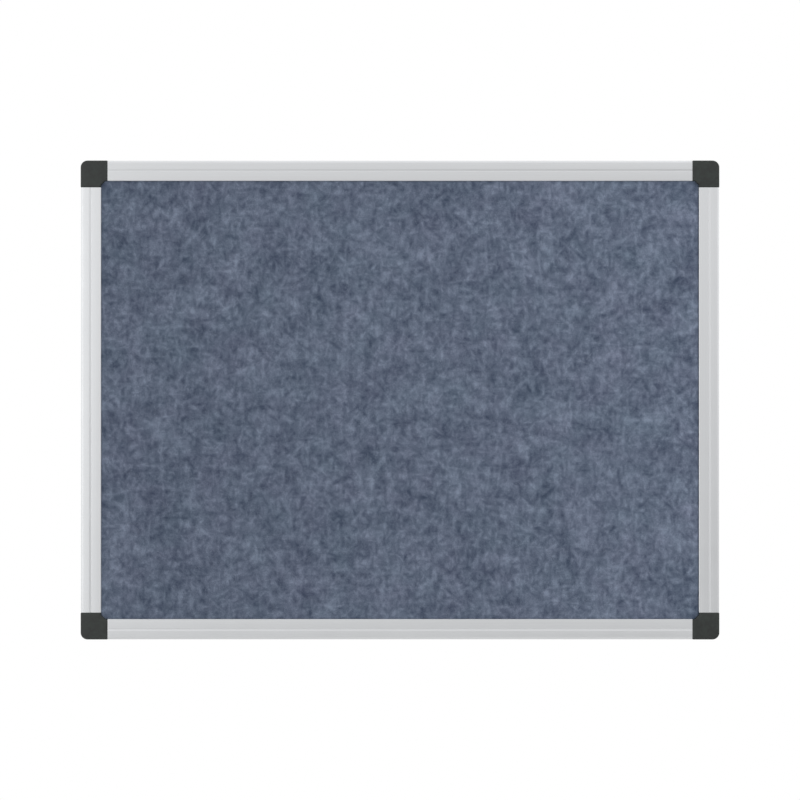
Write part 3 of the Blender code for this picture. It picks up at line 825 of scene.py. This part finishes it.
def zinc_plate():
    """Bright zinc plating on steel: a bluish metal, faintly clouded where the bath left it."""
    made, tree = new_material("zinc_plated_steel")
    place = add(tree, "TexCoord").outputs["Object"]
    cloud = add(tree, "TexNoise", [("Vector", place), ("Scale", 1 / ZINC_CLOUD), ("Detail", 4)]).outputs[0]
    amount = add(tree, "MapRange", enumerate((cloud, 0.3, 0.7))).outputs[0]
    tone = add(tree, "MixRGB", enumerate((amount, linear("#AEB3B8"), linear("#C9CED3"))))
    rough = add(tree, "MapRange", enumerate((cloud, 0.3, 0.7, 0.24, 0.4)))
    bump = add(tree, "Bump", [("Strength", 0.4), ("Distance", ZINC_RELIEF), ("Height", cloud)])
    shader = add(
        tree,
        "BsdfPrincipled",
        [
            ("Base Color", tone.outputs[0]),
            ("Metallic", 1),
            ("Roughness", rough.outputs[0]),
            ("Normal", bump.outputs[0]),
        ],
    )
    add(tree, "OutputMaterial", [("Surface", shader.outputs[0])])
    return made


zinc = zinc_plate()
turns = random.Random(5)
for along_u, along_v, side, length in CORNERS.values():
    for number, place in ((1, SCREW_PLACE), (2, length - SCREW_PLACE)):
        turned = Matrix.Rotation(turns.uniform(0, RECESS_TURN), 4, "Z")
        driven = Matrix.Translation((CHAMBER_MIDDLE, place, 0)) @ turned
        dressed(
            f"pan_head_screw_{side}_{number}",
            screw_mesh(),
            zinc,
            "board",
            [f"rail_screw_{side}_{number}"],
            corner_matrix(along_u, along_v) @ driven,
        )

# Corner caps
#
# Moulded ABS, one over each corner: a slightly crowned plate with a rounded rim and a skirt on its two
# outer sides. Two cross-shaped pins press into the body's sockets, and a half-round notch in each skirt
# lets a blade lift the cap off the wall screw.
CAP_LEG = 25 * MM
CAP_RADIUS = 6.5 * MM
CAP_SLANT = 3.83 * MM
CAP_CORNER = 0.35 * MM
CAP_CORNER_LEAST = 0.02 * MM
CAP_REAR = 13.8 * MM
CAP_PLATE = 1.7 * MM
CAP_FRONT = CAP_REAR + CAP_PLATE
CAP_RIM_DROP = 0.25 * MM
CAP_EDGE = 1.1 * MM
CAP_CROWN_REACH = 7 * MM
CAP_CELL = 1 * MM
CAP_SOFTENED = 0.12 * MM
SAME_HEIGHT = 0.003 * MM
SKIRT_REAR = 10 * MM
SKIRT_WALL = 1.6 * MM
SOCKET_PLACE = 19 * MM
PIN_RADIUS = 1.4 * MM
PIN_BLADE = 0.9 * MM
PIN_END = 6.6 * MM
PIN_TAPER = 1.2 * MM
PIN_TAPER_SHARE = 0.55
NOTCH_FROM_EDGE = 14 * MM
NOTCH_RADIUS = 1.4 * MM
CAP_RIB = 0.9 * MM
CAP_RIB_HEIGHT = 1.2 * MM


def cap_outline(inset):
    """The cap's outline drawn in by inset: rounded outside, slanting across the board's inner corner."""
    far = CAP_LEG - inset
    face = RAIL_FACE - inset
    slant = 2 * RAIL_FACE + CAP_SLANT - inset * math.sqrt(2)
    small = max(CAP_CORNER - inset, CAP_CORNER_LEAST)
    return filleted(
        [
            (inset, inset, CAP_RADIUS - inset),
            (far, inset, small),
            (far, face, small),
            (slant - face, face, CAP_CORNER_LEAST),
            (face, slant - face, CAP_CORNER_LEAST),
            (face, far, small),
            (inset, far, small),
        ]
    )


def crown(u, v):
    """How far the plate's face rises at a place, from the rim to its full height."""
    inside = min(u, v, CAP_LEG - u, CAP_LEG - v, (2 * RAIL_FACE + CAP_SLANT - u - v) / math.sqrt(2))
    if u < CAP_RADIUS and v < CAP_RADIUS:
        inside = CAP_RADIUS - math.hypot(CAP_RADIUS - u, CAP_RADIUS - v)
    share = max(0.0, min(1.0, (inside - CAP_EDGE) / CAP_CROWN_REACH))
    return CAP_RIM_DROP * share * (2 - share)


def cap_blank():
    """The cap's outside, down to the skirt's lower edge, with its rim rounded and its face crowned."""
    rim = CAP_FRONT - CAP_RIM_DROP
    sections = [(cap_outline(0), SKIRT_REAR)]
    for step in range(ARC_STEPS + 1):
        angle = math.radians(90) * step / ARC_STEPS
        inset = CAP_EDGE * (1 - math.cos(angle))
        sections.append((cap_outline(inset), rim - CAP_EDGE + CAP_EDGE * math.sin(angle)))
    made = lofted(sections)
    shape = bmesh.new()
    shape.from_mesh(made)

    def on_face(end):
        return abs(end.co.z - rim) < SAME_HEIGHT

    for axis in (Vector((1, 0, 0)), Vector((0, 1, 0))):
        for step in range(1, round(CAP_LEG / CAP_CELL)):
            face = [part for part in shape.faces if all(on_face(end) for end in part.verts)]
            edges = {edge for part in face for edge in part.edges}
            ends = {end for part in face for end in part.verts}
            bmesh.ops.bisect_plane(
                shape,
                geom=[*face, *edges, *ends],
                plane_co=axis * step * CAP_CELL,
                plane_no=axis,
            )
    for end in shape.verts:
        if on_face(end):
            end.co.z += crown(end.co.x, end.co.y)
    shape.to_mesh(made)
    shape.free()
    return made


def mirrored(mesh):
    """A mesh and its copy mirrored across the corner's diagonal."""
    other = mesh.copy()
    other.transform(Matrix(((0, 1, 0, 0), (1, 0, 0, 0), (0, 0, 1, 0), (0, 0, 0, 1))))
    other.flip_normals()
    return [mesh, other]


def cap_mesh():
    """The whole cap: the blank, hollowed and notched, with its ribs and pins joined on."""
    far = CAP_LEG + OVERRUN
    hollow = filleted(
        [
            (SKIRT_WALL, SKIRT_WALL, CAP_RADIUS - SKIRT_WALL),
            (far, SKIRT_WALL, 0),
            (far, far, 0),
            (SKIRT_WALL, far, 0),
        ]
    )
    notch = circle((NOTCH_FROM_EDGE, SKIRT_REAR), NOTCH_RADIUS)
    cuts = [lofted([(hollow, SKIRT_REAR - OVERRUN), (hollow, CAP_REAR)])]
    cuts += mirrored(lofted([(notch, -OVERRUN), (notch, SKIRT_WALL + OVERRUN)], "ud"))
    root = CAP_REAR + CAP_PLATE / 2
    rib = rectangle(
        (CHAMBER_MIDDLE - CAP_RIB / 2, SKIRT_WALL / 2),
        (CHAMBER_MIDDLE + CAP_RIB / 2, SOCKET_PLACE),
    )
    joins = mirrored(lofted([(rib, CAP_REAR - CAP_RIB_HEIGHT), (rib, root)]))
    middle = Vector((CHAMBER_MIDDLE, SOCKET_PLACE))
    for half in (Vector((PIN_RADIUS, PIN_BLADE / 2)), Vector((PIN_BLADE / 2, PIN_RADIUS))):
        full = rectangle(middle - half, middle + half)
        tip = rectangle(middle - half * PIN_TAPER_SHARE, middle + half * PIN_TAPER_SHARE)
        joins += mirrored(lofted([(tip, PIN_END), (full, PIN_END + PIN_TAPER), (full, root)]))
    return carved(carved(cap_blank(), cuts=cuts), joins=joins)


cap_abs = moulded_abs("moulded_abs_corner_cap", "#080C0A", "#1C2420", 0.46, CAP_SOFTENED)
cap = cap_mesh()
for name, (along_u, along_v, _, _) in CORNERS.items():
    dressed(
        "cap_moulding_" + name,
        cap.copy(),
        cap_abs,
        "cap_" + name,
        ["corner_cap_" + name],
        corner_matrix(along_u, along_v),
    )

# Studio
#
# A camera square on to the board, a white background, even light from all round, a soft lamp in front on
# the right, and a pale floor well below the board. The rails and caps mirror a sky that is uneven as a
# room is, and a panel on the left that lights nothing else.
PICTURE_PIXELS = 800
BOARD_PIXELS = 638
PICTURE_SPAN = BOARD_WIDTH * PICTURE_PIXELS / BOARD_PIXELS
LENS = 100
SENSOR = 36
WHITE = (1, 1, 1, 1)
SOFT_LIGHT = 0.77
MIRRORED_LIGHT = 0.96
LAMP_PLACE = Vector((0.8, -1.0, 0.3))
LAMP_SIZE = 0.8
LAMP_POWER = 5.4
PANEL_PLACE = Vector((-0.86, -1.08, 0))
PANEL_TARGET = Vector((-0.3, 0, 0))
PANEL_WIDTH = 0.6
PANEL_HEIGHT = 1.0
PANEL_POWER = 1.05
FLOOR_DROP = 0.95
FLOOR_RADIUS = 3.0
FLOOR_SIDES = 96

view = bpy.data.cameras.new("front_view")
view.lens = LENS
view.sensor_width = SENSOR
camera = bpy.data.objects.new("front_view", view)
bpy.context.scene.collection.objects.link(camera)
camera.location = (0, -(PICTURE_SPAN * LENS / SENSOR + RAIL_DEPTH - OUTER_RADIUS), 0)
camera.rotation_euler = (math.radians(90), 0, 0)
bpy.context.scene.camera = camera
bpy.context.scene.view_settings.view_transform = "Standard"

world = bpy.data.worlds.new("studio")
world.use_nodes = True
bpy.context.scene.world = world
sky = world.node_tree
sky.nodes.clear()
way = add(sky, "TexCoord")
across, inwards, up = add(sky, "SeparateXYZ", [(0, way.outputs["Generated"])]).outputs
# Each of these is 0 where it begins and full where it ends, along one direction of the mirrored sky.
left = add(sky, "MapRange", enumerate((across, -0.12, -0.38, 0, 0.12))).outputs[0]
right = add(sky, "MapRange", enumerate((across, 0, 0.3, 0, 0.09))).outputs[0]
ground = add(sky, "MapRange", enumerate((up, -0.2, -0.32, 0, 0.22))).outputs[0]
above = add(sky, "MapRange", enumerate((up, 0.1, 0.6, 0, -0.02))).outputs[0]
beside = add(sky, "MapRange", enumerate((inwards, -0.9, -0.5, 0, 0.20))).outputs[0]
# Below the horizon it is darker, and more so towards the right.
dusk = add(sky, "MapRange", enumerate((up, 0.05, -0.12, 0, -0.37))).outputs[0]
deeper = add(sky, "MapRange", enumerate((across, -0.2, 0.3, 0.6, 1.6))).outputs[0]
low = add(sky, "Math", [(0, dusk), (1, deeper)], operation="MULTIPLY").outputs[0]
level = MIRRORED_LIGHT
for change in (left, right, low, ground, above, beside):
    level = add(sky, "Math", [(0, level), (1, change)], operation="ADD").outputs[0]
rays = add(sky, "LightPath")
soft_light = add(sky, "Background", [("Color", WHITE), ("Strength", SOFT_LIGHT)])
reflected = add(sky, "Background", [("Color", WHITE), ("Strength", level)])
white = add(sky, "Background", [("Color", WHITE), ("Strength", 1)])
shine = add(
    sky,
    "MixShader",
    [(0, rays.outputs["Is Glossy Ray"]), (1, soft_light.outputs[0]), (2, reflected.outputs[0])],
)
clear = add(
    sky,
    "Math",
    [(0, rays.outputs["Is Camera Ray"]), (1, rays.outputs["Is Transmission Ray"])],
    operation="MAXIMUM",
)
seen = add(sky, "MixShader", [(0, clear.outputs[0]), (1, shine.outputs[0]), (2, white.outputs[0])])
add(sky, "OutputWorld", [("Surface", seen.outputs[0])])

lamp = bpy.data.lights.new("soft_lamp", "AREA")
lamp.size = LAMP_SIZE
lamp.energy = LAMP_POWER
soft_lamp = bpy.data.objects.new("soft_lamp", lamp)
bpy.context.scene.collection.objects.link(soft_lamp)
soft_lamp.location = LAMP_PLACE
soft_lamp.rotation_euler = (-LAMP_PLACE).to_track_quat("-Z", "Y").to_euler()
soft_lamp.visible_camera = False
soft_lamp.visible_glossy = False

panel = bpy.data.lights.new("left_panel", "AREA")
panel.shape = "RECTANGLE"
panel.size = PANEL_WIDTH
panel.size_y = PANEL_HEIGHT
panel.energy = PANEL_POWER
left_panel = bpy.data.objects.new("left_panel", panel)
bpy.context.scene.collection.objects.link(left_panel)
left_panel.location = PANEL_PLACE
left_panel.rotation_euler = (PANEL_TARGET - PANEL_PLACE).to_track_quat("-Z", "Y").to_euler()
left_panel.visible_camera = False
left_panel.visible_diffuse = False

bpy.ops.mesh.primitive_circle_add(
    vertices=FLOOR_SIDES,
    radius=FLOOR_RADIUS,
    fill_type="NGON",
    location=(0, 0, -FLOOR_DROP),
)
floor = bpy.context.object
floor.name = "floor"
# Where it is looked at or mirrored the floor is lifted towards white, and it keeps the board's shadow.
pale, pale_tree = new_material("pale_floor")
plain = add(pale_tree, "BsdfDiffuse", [("Color", linear("#F2F2F1"))])
floor_rays = add(pale_tree, "LightPath")
brighter = 0.0
for kind, share in (("Is Camera Ray", 0.24), ("Is Transmission Ray", 0.24), ("Is Glossy Ray", 0.12)):
    brighter = add(
        pale_tree,
        "Math",
        [(0, floor_rays.outputs[kind]), (1, share), (2, brighter)],
        operation="MULTIPLY_ADD",
    ).outputs[0]
glow = add(pale_tree, "Emission", [("Strength", brighter)])
both = add(pale_tree, "AddShader", [(0, plain.outputs[0]), (1, glow.outputs[0])])
add(pale_tree, "OutputMaterial", [("Surface", both.outputs[0])])
floor.data.materials.append(pale)
